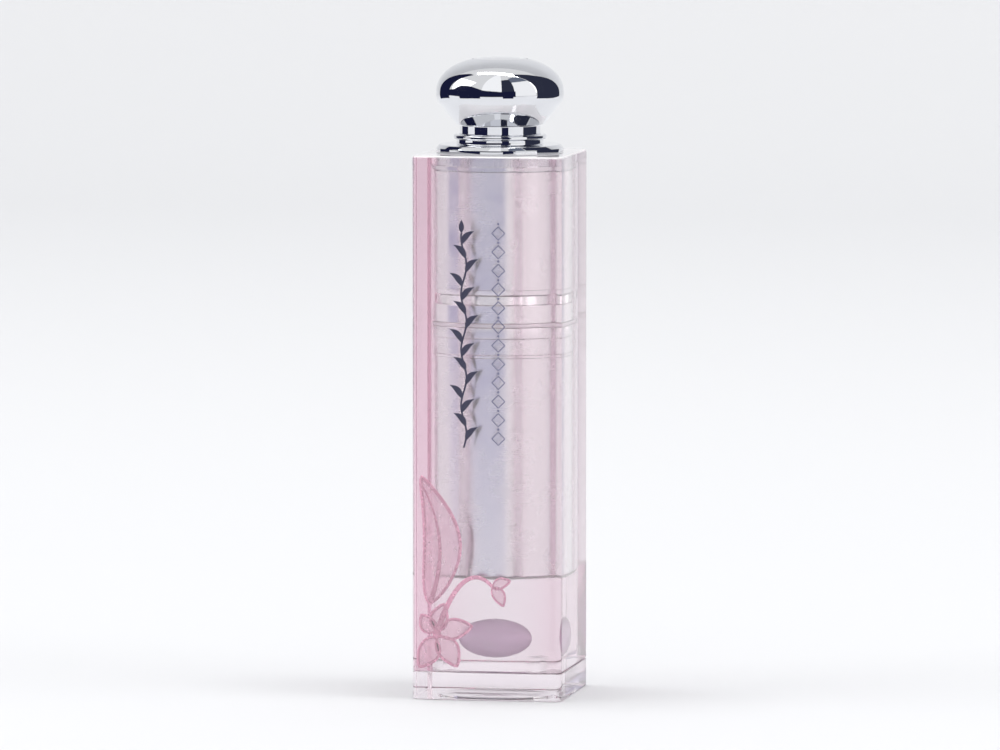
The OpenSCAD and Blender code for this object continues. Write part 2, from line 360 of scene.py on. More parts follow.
def turned_lines(surface, pitch_mm):
    """Fine lines that run round the part, as turning or polishing on a spindle leaves."""
    height = add(surface, "ShaderNodeSeparateXYZ", {"Vector": place(surface)}).outputs["Z"]
    return add(surface, "ShaderNodeTexNoise", {"W": height, "Scale": 1 / pitch_mm, "Detail": 2.0},
               noise_dimensions="1D").outputs["Fac"]


# ---- materials ----

def clear_acrylic(name, tint_colour, tint_density, inside_ior):
    """Pink acrylic: the tint is in its depth, its top is whitened as painted light, and handling has left
    smears and hairlines.

    Its outer faces bend light as acrylic does. Inside, where it meets the stick closely, it bends light
    little, so the stick shows at its full width, as under a clear grease.
    """
    outside_ior, clear, painted_light_top, painted_light_depth, painted_light_fade = 1.49, 0.95, 0.25, 0.3, 0.25
    face_depth, foot_depth, top_depth = 0.75, 0.6, 0.2
    smear_rough, scratch_rough = 0.02, 0.06
    surface = principled(name, {"Base Color": (1, 1, 1, 1), "IOR": outside_ior})
    where = add(surface, "ShaderNodeSeparateXYZ", {"Vector": place(surface)})
    height = where.outputs["Z"]
    across = total(surface, total(surface, where.outputs["X"], 0.0, "ABSOLUTE"),
                   total(surface, where.outputs["Y"], 0.0, "ABSOLUTE"), "MAXIMUM")
    within = total(surface, across, CASE_HALF - face_depth, "LESS_THAN")
    above = total(surface, height, FOOT_TOP - foot_depth, "GREATER_THAN")
    below = total(surface, height, CASE_TOP - top_depth, "LESS_THAN")
    inner = total(surface, total(surface, within, above, "MULTIPLY"), below, "MULTIPLY")
    feed(surface, spread(surface, inner, outside_ior, inside_ior, 0.0, 1.0), "IOR")
    # Painted light: near its top the acrylic lets less light through and turns white, so the knob's cone
    # mirrors it light pink-grey. Elsewhere it keeps a little white haze, which also lightens its dark lines:
    # partly haze, partly painted light.
    painted_light_low = CASE_TOP - painted_light_depth
    feed(surface, spread(surface, height, clear, painted_light_top, painted_light_low, painted_light_low + painted_light_fade),
         "Transmission Weight")
    handled = noise(surface, place(surface, (1, 1, 0.5)), grain_mm=6.0)
    smears = spread(surface, handled, 0.0, smear_rough, 0.45, 0.75)
    scratches = hairlines(surface, (0.5, 0.2, 0), length_mm=9.0, width_mm=0.05, share=0.29)
    feed(surface, total(surface, smears, total(surface, scratches, scratch_rough, "MULTIPLY")), "Roughness")
    wave = noise(surface, place(surface), grain_mm=7.0, detail=1.0)
    feed(surface, relief(surface, wave, depth_mm=0.004), "Normal")
    tint = add(surface, "ShaderNodeVolumeAbsorption", {"Color": (*tint_colour, 1), "Density": tint_density})
    output = surface.node_tree.nodes["Material Output"]
    surface.node_tree.links.new(tint.outputs[0], output.inputs["Volume"])
    return surface


def chrome(name="mirror_chrome", tone=(0.77, 0.78, 0.81), satin_below=0.0):
    """Mirror chrome with the haze of fingertips and fine polishing lines; satin below a height."""
    satin_rough, satin_fade, scratch_rough = 0.24, 0.1, 0.08
    surface = principled(name, {"Metallic": 1.0})
    haze = noise(surface, place(surface), grain_mm=2.6, detail=4.0, roughness=0.6)
    smudge = spread(surface, haze, 0.015, 0.07, 0.5, 0.8)
    lines = hairlines(surface, (0.9, 0.4, 0), length_mm=5.0, width_mm=0.04, share=0.33)
    scratches = total(surface, lines, scratch_rough, "MULTIPLY")
    height = add(surface, "ShaderNodeSeparateXYZ", {"Vector": place(surface)}).outputs["Z"]
    satin = spread(surface, height, satin_rough, 0.0, satin_below - satin_fade, satin_below)
    feed(surface, total(surface, total(surface, smudge, scratches), satin), "Roughness")
    feed(surface, shades(surface, haze, tone, dimmed(tone, 0.97)), "Base Color")
    feed(surface, relief(surface, turned_lines(surface, pitch_mm=0.09), depth_mm=0.0004), "Normal")
    return surface


def satin_silver(name, tone, rough, line_depth_mm):
    """Anodised drawn tube: fine lines run round it, and its sheen is a little uneven."""
    surface = principled(name, {"Metallic": 1.0})
    lines = turned_lines(surface, pitch_mm=0.07)
    cloud = noise(surface, place(surface), grain_mm=4.0)
    uneven = spread(surface, cloud, rough * 0.8, rough * 1.25)
    feed(surface, total(surface, uneven, spread(surface, lines, -0.01, 0.02)), "Roughness")
    feed(surface, shades(surface, lines, dimmed(tone, 0.97), tone), "Base Color")
    feed(surface, relief(surface, lines, line_depth_mm), "Normal")
    return surface


def moulded(name, tone, rough, grain_mm=0.35, extra=None):
    """Moulded plastic or rubber: a fine eroded texture, with slightly uneven colour and gloss."""
    surface = principled(name, extra or {})
    grain = noise(surface, place(surface), grain_mm, detail=4.0)
    cloud = noise(surface, place(surface), grain_mm=5.0)
    feed(surface, spread(surface, grain, rough * 0.85, rough * 1.15), "Roughness")
    feed(surface, shades(surface, cloud, dimmed(tone, 0.93), tone), "Base Color")
    feed(surface, relief(surface, grain, depth_mm=0.004), "Normal")
    return surface


def pearl_insert():
    """Mauve plastic with a pearly lustre: tiny flakes catch the light under a clear skin."""
    flake_mm = 0.12
    surface = principled("mauve_pearl", {"Coat Weight": 0.2, "Coat Roughness": 0.1, "IOR": 1.1,
                                         "Transmission Weight": 0.55})
    flakes = add(surface, "ShaderNodeTexVoronoi", {"Vector": place(surface), "Scale": 1 / flake_mm})
    sparkle = add(surface, "ShaderNodeSeparateColor", {"Color": flakes.outputs["Color"]}).outputs[0]
    cloud = noise(surface, place(surface), grain_mm=2.0)
    tone = total(surface, spread(surface, cloud, 0.0, 0.7), spread(surface, sparkle, 0.0, 0.3, 0.0, 1.0))
    feed(surface, shades(surface, tone, (0.95, 0.74, 0.93), (1.0, 0.87, 1.0)), "Base Color")
    feed(surface, spread(surface, sparkle, 0.32, 0.5, 0.0, 1.0), "Roughness")
    return surface


def balm_wax():
    """Tinted wax: soft light inside it, faint drag marks round it and a slight bloom."""
    surface = principled("tinted_balm", {"Subsurface Weight": 0.35, "Subsurface Scale": 1.5 * MM, "IOR": 1.44,
                                         "Subsurface Radius": (1.0, 0.35, 0.35)})
    bloom = noise(surface, place(surface), grain_mm=1.6, detail=5.0)
    drag = relief(surface, turned_lines(surface, pitch_mm=0.35), depth_mm=0.01)
    pores = noise(surface, place(surface), grain_mm=0.25)
    feed(surface, spread(surface, bloom, 0.28, 0.45), "Roughness")
    feed(surface, shades(surface, bloom, (0.80, 0.25, 0.33), (0.88, 0.38, 0.45)), "Base Color")
    feed(surface, relief(surface, pores, depth_mm=0.006, over=drag), "Normal")
    return surface


def ink(name, tone):
    """Screen-printed ink: nearly flat, with a fine mesh grain and small changes in its thickness."""
    surface = principled(name, {"Specular IOR Level": 0.4})
    grain = noise(surface, place(surface), grain_mm=0.08, detail=2.0)
    feed(surface, shades(surface, grain, dimmed(tone, 0.8), dimmed(tone, 1.2)), "Base Color")
    feed(surface, spread(surface, grain, 0.35, 0.5), "Roughness")
    feed(surface, relief(surface, grain, depth_mm=0.003), "Normal")
    return surface


def raised_lacquer():
    """Pink raised lacquer: glossy, and a little lighter where it is thin."""
    surface = principled("pink_lacquer", {"Coat Weight": 0.5, "Coat Roughness": 0.05, "IOR": 1.3,
                                          "Transmission Weight": 0.4})
    flow = noise(surface, place(surface), grain_mm=0.9)
    ripple = noise(surface, place(surface), grain_mm=0.5)
    feed(surface, shades(surface, flow, (0.80, 0.42, 0.56), (0.93, 0.58, 0.71)), "Base Color")
    feed(surface, spread(surface, flow, 0.2, 0.32), "Roughness")
    feed(surface, relief(surface, ripple, depth_mm=0.003), "Normal")
    return surface


def petal_tint():
    """Thin see-through pink varnish that fills the petals, with brush-like streaks."""
    surface = principled("petal_tint", {"Transmission Weight": 0.75, "IOR": 1.45})
    streaks = noise(surface, place(surface, (1, 1, 0.3)), grain_mm=0.5)
    feed(surface, shades(surface, streaks, (0.93, 0.70, 0.79), (1.0, 0.84, 0.90)), "Base Color")
    feed(surface, spread(surface, streaks, 0.15, 0.3), "Roughness")
    feed(surface, relief(surface, streaks, depth_mm=0.006), "Normal")
    return surface


def brushed_film():
    """Silvery label film, finely brushed one way."""
    surface = principled("label_film", {"Metallic": 0.25})
    lines = noise(surface, place(surface, (0.05, 1, 1)), grain_mm=0.06)
    feed(surface, shades(surface, lines, (0.80, 0.77, 0.80), (0.90, 0.88, 0.90)), "Base Color")
    feed(surface, spread(surface, lines, 0.3, 0.45), "Roughness")
    feed(surface, relief(surface, lines, depth_mm=0.002), "Normal")
    return surface


ACRYLIC = clear_acrylic("clear_pink_acrylic", (0.90, 0.68, 0.78), tint_density=80.0, inside_ior=1.015)
FOOT_ACRYLIC = clear_acrylic("pale_pink_acrylic", (0.92, 0.72, 0.83), tint_density=20.0, inside_ior=1.1)
CHROME = chrome()
SILVER = satin_silver("barrel_silver", (0.88, 0.87, 0.885), rough=0.24, line_depth_mm=0.0002)
# The band silver is the barrel silver a shade lighter with the same roughness: a painted sheen standing in
# for polish.
SHEEN_PAINTED_SILVER = satin_silver("band_silver_painted_sheen", (0.91, 0.905, 0.915), rough=0.24, line_depth_mm=0.0002)
LOCK_STEEL = satin_silver("lock_steel", (0.80, 0.80, 0.82), rough=0.18, line_depth_mm=0.0004)
STEEL = satin_silver("turned_steel", (0.56, 0.57, 0.59), rough=0.28, line_depth_mm=0.003)
WIRE = satin_silver("spring_wire", (0.62, 0.62, 0.64), rough=0.25, line_depth_mm=0.001)
ACETAL = moulded("white_acetal", (0.86, 0.86, 0.84), rough=0.42)
SILICONE = moulded("pearl_silicone", (0.90, 0.87, 0.89), rough=0.38, grain_mm=0.2, extra={"Metallic": 0.6})
SEAL = moulded("clear_silicone", (0.70, 0.72, 0.74), rough=0.35, grain_mm=0.2,
               extra={"Subsurface Weight": 0.2})
PEARL = pearl_insert()
WAX = balm_wax()
FILM = brushed_film()
CHARCOAL_INK = ink("charcoal_ink", (0.045, 0.045, 0.085))
GREY_INK = ink("grey_ink", (0.20, 0.20, 0.30))
LACQUER = raised_lacquer()
PETAL_TINT = petal_tint()


# ---- sleeve and foot ----

def sleeve():
    """Clear square sleeve: round bore, notches for the foot's keys, and softly rounded edges."""
    top_round, bottom_round, inside_round, hole_round = 0.3, 0.15, 0.15, 0.1
    roof_z = CASE_TOP - SLEEVE_ROOF
    notch_top = KEY_TOP + KEY_GAP
    notch = (SLEEVE_BORE_R, KEY_REACH + KEY_GAP, KEY_HALF + KEY_GAP)
    sections = [case_section(inset, SLEEVE_BOTTOM + drop) for inset, drop in quarter(bottom_round)]
    sections += [case_section(inset, CASE_TOP - drop) for inset, drop in reversed(quarter(top_round))]
    sections += [round_section(ROOF_HOLE_R + inset, CASE_TOP - hole_round + drop)
                 for drop, inset in quarter(hole_round, 3)]
    sections += [round_section(ROOF_HOLE_R, roof_z)]
    sections += [round_section(SLEEVE_BORE_R - drop, roof_z - inset)
                 for inset, drop in reversed(quarter(inside_round))]
    sections += [round_section(SLEEVE_BORE_R, notch_top)]
    sections += [keyed_section(*notch, notch_top), keyed_section(*notch, SLEEVE_BOTTOM)]
    mesh = loft(sections, wrap=True)
    new_piece("case_sleeve", mesh, "sleeve", ACRYLIC, ["outer_sleeve"])


def foot():
    """Clear square foot with its keys, the round pedestal on it, and the spigot that holds the guide tube."""
    bottom_round, top_round, pedestal_round, spigot_round = 0.18, 0.15, 0.25, 0.12
    recess_r, recess_h, recess_edge = high("base_label").x + 0.2, high("base_label").z, 0.05
    spigot_r, spigot_top = 6.0, high("base_foot").z
    sections = [round_section(recess_r, recess_h), round_section(recess_r, recess_edge),
                round_section(recess_r + recess_edge, 0)]
    sections += [case_section(inset, drop) for inset, drop in quarter(bottom_round)]
    sections += [case_section(inset, FOOT_TOP - drop) for inset, drop in reversed(quarter(top_round, 3))]
    sections += [keyed_section(BARREL_R, KEY_REACH, KEY_HALF, z) for z in (FOOT_TOP, KEY_TOP)]
    sections += [round_section(BARREL_R, KEY_TOP)]
    sections += [round_section(BARREL_R - inset, PEDESTAL_TOP - drop)
                 for inset, drop in reversed(quarter(pedestal_round))]
    sections += [round_section(spigot_r, PEDESTAL_TOP)]
    sections += [round_section(spigot_r - inset, spigot_top - drop)
                 for inset, drop in reversed(quarter(spigot_round, 3))]
    new_piece("case_foot", loft(sections), "base", FOOT_ACRYLIC, ["base_foot"])


def insert():
    """Mauve lens moulded into the foot."""
    centre = (low("shade_insert").z + high("shade_insert").z) / 2
    half_h = (high("shade_insert").z - low("shade_insert").z) / 2
    r = high("shade_insert").x
    steps = 32
    angles = [math.pi * k / steps for k in range(1, steps)]
    outline = [(r * math.sin(a), centre - half_h * math.cos(a)) for a in angles]
    outline = [(0, centre - half_h)] + outline + [(0, centre + half_h)]
    new_piece("mauve_lens", lathe(outline), "base", PEARL, ["shade_insert"])


def label():
    """Plain film disc in the foot's recess, with a fine pressed ring."""
    r, bottom, top = high("base_label").x, low("base_label").z, high("base_label").z
    ring_r, ring_h, ring_low, ring_high = 0.86 * r, 0.04, 0.4, 0.2
    outline = rounded([
        (0, bottom), (ring_r - ring_low, bottom), (ring_r - ring_high, bottom + ring_h, 0.1),
        (ring_r + ring_high, bottom + ring_h, 0.1), (ring_r + ring_low, bottom), (r, bottom, 0.04),
        (r, top, 0.04), (0, top)], steps=3)
    new_piece("foot_label", lathe(outline), "base", FILM, ["base_label"])


# ---- the stick: barrel, bands, soft ring and mouth ----

def barrel():
    """Silver barrel whose upper end is a raised band with a shallow groove round it."""
    band_bottom = BAND_TOP - 3.9
    groove_low, groove_high, groove_flank = BAND_TOP - 3.55, BAND_TOP - 1.35, 0.08
    groove_r = BAND_R - 0.1
    outline = rounded([
        (BARREL_BORE_R, BARREL_BOTTOM, 0.08), (BARREL_R, BARREL_BOTTOM, 0.15), (BARREL_R, band_bottom, 0.04),
        (BAND_R, band_bottom, 0.07), (BAND_R, groove_low, 0.05), (groove_r, groove_low + groove_flank, 0.05),
        (groove_r, groove_high - groove_flank, 0.05), (BAND_R, groove_high, 0.05),
        (BAND_R, BAND_TOP, 0.05), (BARREL_BORE_R, BAND_TOP, 0.04)])
    new_piece("barrel_skin", lathe(outline), "barrel", SILVER, ["barrel_tube"])


def soft_ring():
    """Soft ring between the two bands."""
    r, bottom, top = high("friction_ring").x, low("friction_ring").z, high("friction_ring").z
    root_r, edge = BARREL_BORE_R + SEAT_GAP, 0.12
    outline = rounded([(root_r, bottom), (r, bottom, edge), (r, top, edge), (root_r, top)])
    new_piece("soft_ring", lathe(outline), "barrel", SILICONE, ["friction_ring"])


def neck():
    """Silver shell below the mouth, a shade lighter than the barrel as a painted sheen: it steps in to the
    inner cap's seat and ends in a rolled lip.
    """
    bottom, mouth_r, seat_r, seat_in_r = low("neck_shell").z, 5.75, 7.63, 7.37
    lip_low, step_low = MOUTH_Z - 0.6, NECK_STEP - METAL
    outline = rounded([
        (BARREL_BORE_R, bottom, 0.04), (BAND_R, bottom, 0.04), (BAND_R, NECK_STEP, 0.12),
        (seat_r, NECK_STEP, 0.05), (seat_r, MOUTH_Z, 0.22), (mouth_r, MOUTH_Z, 0.2), (mouth_r, lip_low, 0.15),
        (seat_in_r, lip_low, 0.05), (seat_in_r, step_low, 0.05), (BARREL_BORE_R, step_low, 0.05)])
    new_piece("mouth_shell", lathe(outline), "barrel", SHEEN_PAINTED_SILVER, ["neck_shell"])


def balm():
    """The balm's stick with its slanted tip, worn round at the edge."""
    r, bottom, top = high("balm_bullet").x, low("balm_bullet").z, high("balm_bullet").z
    slope, bottom_edge, tip_edge, crown, steps = math.tan(math.radians(34)), 0.3, 0.7, 0.12, 96

    def cut_ring(inset, drop):
        ring = circle(r - inset, 0, steps)
        return [(x, y, top + (y - r) * slope - drop) for x, y, _ in ring]

    sections = [circle(r - bottom_edge, bottom, steps), circle(r, bottom + bottom_edge, steps)]
    sections += [cut_ring(inset, drop) for inset, drop in reversed(quarter(tip_edge, 7))]
    sections += [cut_ring(r * share, -crown * share) for share in (0.3, 0.5, 0.7, 0.9)]
    new_piece("balm_stick", loft(sections), "carrier", WAX, ["balm_bullet"])


def inner_cap():
    """Silver cap over the mouth, whose boss runs up through the plate to the knob."""
    r, bottom, boss_top = high("inner_cap").x, low("inner_cap").z, high("inner_cap").z
    top = boss_top - BOSS_H
    bore_r, bore_top, boss_bore_r, boss_floor = r - 0.4, top - 0.7, 1.3, top + 1.2
    rim_r, rim_low, rim_high = r - 0.06, bottom + 0.66, bottom + 0.7
    outline = rounded([
        (0, boss_floor), (boss_bore_r, boss_floor, 0.1), (boss_bore_r, boss_top, 0.08),
        (BOSS_R, boss_top, 0.2), (BOSS_R, top, 0.08), (r, top, 0.03), (r, rim_high, 0.04),
        (rim_r, rim_low, 0.04), (rim_r, bottom, 0.12), (bore_r, bottom, 0.1), (bore_r, bore_top, 0.3),
        (0, bore_top)])
    new_piece("inner_cap_skin", lathe(outline), "knob", SILVER, ["inner_cap"])


# ---- the push knob: plate and hub, shell, inlay and spring ----

def plate():
    """Chromed plate with the beaded hub that guides the knob's neck.

    Its shank is a hair longer than the CAD's, which closes the gap above the inner cap to the eye.
    """
    longer = 0.08
    bottom = low("top_plate").z - longer
    plate_r, rim_z, plate_top = high("top_plate").x, CASE_TOP + 0.62, CASE_TOP + 1.1
    shank_r, bush_r, bush_out_r = ROOF_HOLE_R - SEAT_GAP, BOSS_R + 0.07, 3.4
    relief_r, relief_z = shank_r - 0.9, CASE_TOP - 0.5
    hub_r, bead_r, bead_low = 5.6, 6.0, HUB_TOP - 0.6
    bore_r, floor_z = KNOB_NECK_R + END_GAP, CASE_TOP + 0.2
    outline = rounded([
        (bush_r, bottom, 0.1), (bush_out_r, bottom, 0.1), (bush_out_r, relief_z, 0.2),
        (relief_r, relief_z, 0.2), (relief_r, bottom, 0.1), (shank_r, bottom, 0.03), (shank_r, CASE_TOP),
        (plate_r, CASE_TOP, 0.12), (plate_r, rim_z, 0.1), (plate_r - 0.35, plate_top, 0.25),
        (hub_r, plate_top, 0.2), (hub_r, bead_low - SEAT_GAP, 0.06), (bead_r, bead_low, 0.28),
        (bead_r, HUB_TOP, 0.28), (bore_r, HUB_TOP, 0.12), (bore_r, floor_z, 0.1), (bush_r, floor_z, 0.1)],
        steps=6)
    plate_chrome = chrome("plate_chrome", satin_below=CASE_TOP)
    new_piece("plate_and_hub", lathe(outline), "sleeve", plate_chrome, ["top_plate"])


def dome_height(r):
    """Height of the knob's dome at radius r: a slightly squared ellipse."""
    share = (1 - (r / KNOB_R) ** DOME_FULLNESS) ** (1 / DOME_FULLNESS)
    return KNOB_WIDEST + (KNOB_TOP - KNOB_WIDEST) * share


def knob_shell():
    """Chromed knob: flattened dome, a cone down to its neck, and a shallow seat for the inlay."""
    skirt_z, flare_z = low("knob_shell").z, HUB_TOP + PRESS_TRAVEL + END_GAP
    waist_r, waist_z = KNOB_NECK_R + 0.55, flare_z + 0.1
    core_r, core_top = high("knob_core").x + SEAT_GAP, high("knob_core").z + SEAT_GAP
    seat_r, seat_z, seat_edge = INLAY_R + 0.08, low("knob_inlay").z - SEAT_GAP, 0.05
    shoulder_r, shoulder_drop = 0.9, 1.5
    dome_h, power = KNOB_TOP - KNOB_WIDEST, 2 / DOME_FULLNESS
    dome = [(KNOB_R * math.cos(a) ** power, KNOB_WIDEST + dome_h * math.sin(a) ** power)
            for a in (math.radians(72 - 3 * k) for k in range(24))]
    dome = [point for point in dome if point[0] > seat_r + 0.2]
    shoulder = [(KNOB_R - shoulder_r * (1 - math.cos(a)), KNOB_WIDEST - shoulder_drop * math.sin(a))
                for a in (math.radians(5 * k) for k in range(11))]
    lower = rounded([
        shoulder[-1], (waist_r, waist_z, 0.12), (KNOB_NECK_R, flare_z, 0.15), (KNOB_NECK_R, skirt_z, 0.1),
        (core_r, skirt_z, 0.1), (core_r, core_top), (0, core_top)])[1:]
    seat = [(0, seat_z), (seat_r, seat_z), (seat_r, dome_height(seat_r) - seat_edge),
            (seat_r + seat_edge, dome_height(seat_r + seat_edge))]
    new_piece("knob_chrome_shell", lathe(seat + dome + shoulder + lower), "knob", CHROME,
              ["knob_shell"])


def knob_inlay():
    """Plain polished disc in the knob's top, with one fine ring and a rounded rim."""
    bottom, rim_z, edge, stations = low("knob_inlay").z, dome_height(INLAY_R) - 0.05, 0.06, 14
    ring_r, ring_half, ring_depth, sink = 2.7, 0.13, 0.06, 0.05
    top = []
    for r in (INLAY_R * k / stations for k in range(stations)):
        in_ring = abs(r - ring_r) < ring_half
        top.append((r, dome_height(r) - sink - (ring_depth if in_ring else 0)))
    rim = [(INLAY_R - edge, rim_z), (INLAY_R, rim_z - edge)]
    outline = top + rim + [(INLAY_R, bottom), (0, bottom)]
    inlay_chrome = chrome("inlay_chrome", (0.86, 0.86, 0.88))
    new_piece("knob_top_inlay", lathe(outline), "knob", inlay_chrome, ["knob_inlay"])


def spring():
    """Coil spring of round wire whose end turns lie nearly flat."""
    wire_r, turns, per_turn, sides, dead, dead_rise = 0.28, 6, 36, 14, 0.8, 0.06
    mean_r = high("knob_spring").x - wire_r
    bottom, top = low("knob_spring").z + wire_r, high("knob_spring").z - wire_r
    sections = []
    for i in range(turns * per_turn + 1):
        turn = i / per_turn
        rise = min(max((turn - dead) / (turns - 2 * dead), 0), 1)
        rise = (1 - dead_rise) * rise + dead_rise * turn / turns
        a, z = TAU * turn, bottom + (top - bottom) * rise
        out = Vector((math.cos(a), math.sin(a), 0))
        ring = [(mean_r + wire_r * math.cos(b)) * out + Vector((0, 0, z + wire_r * math.sin(b)))
                for b in (TAU * k / sides for k in range(sides))]
        sections.append(ring)
    coil = new_piece("press_spring", loft(sections), "sleeve", WIRE, ["knob_spring"])
    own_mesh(coil)


# ---- printing and raised ornament on the front face ----

def stroke(mesh, path, half_widths, height):
    """Adds a stroke that lies on the front face along path [(x, z)].

    It has a half width for each point. It swells to height where it is widest, and to less where it is thin.
    """
    off_face, least_swell = 0.004, 0.2
    base = CASE_HALF + off_face
    profile = [(-1, 0), (-0.87, 0.5), (-0.5, 0.87), (0, 1), (0.5, 0.87), (0.87, 0.5), (1, 0)]
    rings = []
    for i, (point, half) in enumerate(zip(path, half_widths)):
        here = Vector(point)
        along = Vector(path[min(i + 1, len(path) - 1)]) - Vector(path[max(i - 1, 0)])
        across = Vector((-along.y, along.x)).normalized() * half
        swell = height * min(1, half / max(half_widths) + least_swell)
        ring = [here + across * side for side, _ in profile]
        rings.append([mesh.verts.new(Vector((p.x, -(base + swell * up), p.y)) * MM)
                      for p, (_, up) in zip(ring, profile)])
    for a, b in zip(rings, rings[1:]):
        join_rings(mesh, a, b)
    mesh.faces.new(rings[0])
    mesh.faces.new(rings[-1])


def bezier(p0, p1, p2, p3, steps):
    """Points of a cubic curve."""
    points = []
    for k in range(steps + 1):
        t = k / steps
        b = ((1 - t) ** 3, 3 * t * (1 - t) ** 2, 3 * t * t * (1 - t), t ** 3)
        points.append(tuple(sum(w * p[axis] for w, p in zip(b, (p0, p1, p2, p3))) for axis in (0, 1)))
    return points


def leaf(mesh, start, angle, length, width, height, bend=0.15, steps=12):
    """Adds a pointed leaf that starts at a point and runs at that angle from +X, bent to one side."""
    a = math.radians(angle)
    along, side = Vector((math.cos(a), math.sin(a))), Vector((-math.sin(a), math.cos(a)))
    path, halves = [], []
    for k in range(steps + 1):
        t = k / steps
        path.append(tuple(Vector(start) + along * length * t + side * bend * length * math.sin(math.pi * t)))
        halves.append(max(width / 2 * math.sin(math.pi * t ** 0.85), 0.03))
    stroke(mesh, path, halves, height)


def vine_print():
    """Charcoal vine of slender leaves up the front, left of its middle."""
    mesh = bmesh.new()
    middle, bottom, top, wave, sway, ink_h = -2.9, 32.6, 60.2, 7.2, 0.35, 0.03
    stem_half, leaf_length, leaf_width, leaf_tilt, leaf_bend = 0.12, 2.35, 0.78, 42, 0.14
    count, pitch = 72, wave / 4

    def on_stem(z):
        return middle + sway * math.sin(TAU * (z - bottom) / wave), z

    stem = [on_stem(bottom + (top - bottom) * k / count) for k in range(count + 1)]
    stroke(mesh, stem, [stem_half] * len(stem), ink_h)
    for k in range(int((top - bottom) / pitch)):
        side = -1 if k % 2 else 1
        leaf(mesh, on_stem(bottom + pitch * (k + 0.5)), 90 - side * leaf_tilt, leaf_length, leaf_width, ink_h,
             bend=side * leaf_bend)
    leaf(mesh, stem[-1], 90, 1.7, 0.7, ink_h, bend=0)
    new_piece("vine_print", mesh, "sleeve", CHARCOAL_INK)


def chain_print():
    """Fine grey chain of open lozenges and dots beside the vine."""
    mesh = bmesh.new()
    middle, bottom, top, link, half, line = 1.6, 32.6, 61.4, 2.4, 0.85, 0.07
    dot_rise, dot_half, ink_h = 1.2, 0.16, 0.025
    for k in range(int((top - bottom) / link)):
        z = bottom + link * (k + 0.5)
        corners = [(middle, z - half), (middle + half, z), (middle, z + half), (middle - half, z)]
        for a, b in zip(corners, corners[1:] + corners[:1]):
            stroke(mesh, [a, ((a[0] + b[0]) / 2, (a[1] + b[1]) / 2), b], [line] * 3, ink_h)
        dot = [(middle, z + dot_rise + dot_half * s) for s in (-1, -0.6, 0, 0.6, 1)]
        stroke(mesh, dot, [0.04, 0.13, 0.17, 0.13, 0.04], ink_h)
    new_piece("chain_print", mesh, "sleeve", GREY_INK)


def petal(rim, fill, start, angle, length, width, bend=0.0, edge=0.24):
    """Adds a petal: a raised rim round its outline and a thin varnished fill."""
    rim_h, fill_h, least_half = 0.14, 0.03, 0.03
    a = math.radians(angle)
    along, side = Vector((math.cos(a), math.sin(a))), Vector((-math.sin(a), math.cos(a)))
    left, right, middle, halves = [], [], [], []
    steps = 14 + round(2 * length)
    for k in range(steps + 1):
        t = k / steps
        half = width / 2 * math.sin(math.pi * t ** 0.8) ** 0.8
        centre = Vector(start) + along * length * t + side * bend * length * math.sin(math.pi * t)
        left.append(tuple(centre + side * half))
        right.append(tuple(centre - side * half))
        middle.append(tuple(centre))
        halves.append(max(half, least_half))
    contour = left + right[-2:0:-1] + [left[0]]
    around = len(contour) - 1
    swell = [edge * (0.65 + 0.35 * math.sin(math.pi * k / around)) for k in range(around + 1)]
    stroke(rim, contour, swell, rim_h)
    stroke(fill, middle, halves, fill_h)


def taper(wide, narrow, steps):
    """Half widths that fall evenly from wide to narrow."""
    return [wide - (wide - narrow) * k / steps for k in range(steps + 1)]


def petal_sprig():
    """Raised pink spray low on the front face: a long leaf, a flower, and a branch with two leaves.

    A petal of the flower or a leaf of the branch is (angle from +X, length, width).
    """
    rim, fill = bmesh.new(), bmesh.new()
    heart, heart_r, dot_r = Vector((-6.5, 8.4)), 0.45, 0.5
    branch_end, line_h, dot_h = (0.9, 14.6), 0.12, 0.2
    flower = ((14, 4.3, 2.5), (76, 3.6, 2.2), (128, 2.7, 1.9), (242, 4.3, 2.7), (304, 4.4, 2.7))
    leaves = ((300, 2.7, 1.5), (22, 2.4, 1.3))
    midrib = bezier((-7.3, 12.6), (-5.6, 17.0), (-5.3, 22.0), (-8.3, 27.6), 40)
    stroke(rim, midrib, taper(0.32, 0.12, 40), line_h)
    branch = bezier(tuple(heart), (-4.2, 15.8), (-1.4, 17.4), branch_end, 28)
    stroke(rim, branch, taper(0.36, 0.22, 28), line_h)
    petal(rim, fill, (-7.3, 12.4), 94, 16.4, 4.7, bend=-0.13)
    for angle, length, width in flower:
        a = math.radians(angle)
        start = heart + heart_r * Vector((math.cos(a), math.sin(a)))
        petal(rim, fill, tuple(start), angle, length, width, bend=0.05, edge=0.2)
    dot = [(heart.x, heart.y + dot_r * s) for s in (-1, -0.8, -0.4, 0, 0.4, 0.8, 1)]
    stroke(rim, dot, [0.08, 0.32, 0.46, 0.5, 0.46, 0.32, 0.08], dot_h)
    for angle, length, width in leaves:
        petal(rim, fill, branch_end, angle, length, width, bend=0.07, edge=0.15)
    new_piece("petal_sprig", rim, "sleeve", LACQUER, sharp_deg=75)
    new_piece("petal_fill", fill, "sleeve", PETAL_TINT)


# ---- inner CAD pieces that keep their own shape ----

def dress_inner_nodes():
    """Finishes for the CAD nodes that stay."""
    finishes = {"base_weight": STEEL, "guide_tube": ACETAL, "damping_ring": SEAL, "spiral_tube": ACETAL,
                "carrier_cup": ACETAL, "lock_ring": LOCK_STEEL, "knob_core": ACETAL}
    for node, surface in finishes.items():
        for slot in frame["nodes"][node].material_slots:
            slot.material = surface


# ---- stage, lights and camera ----

STAGE_CENTRE = Vector((0, 0, (CAD_BOX[0][2] + CAD_BOX[1][2]) / 2))
VIEW_AZIMUTH = math.radians(10.6)
VIEW_ELEVATION = math.radians(4.9)
VIEW_DISTANCE_M = 1.2
VIEW_FILL = 0.85


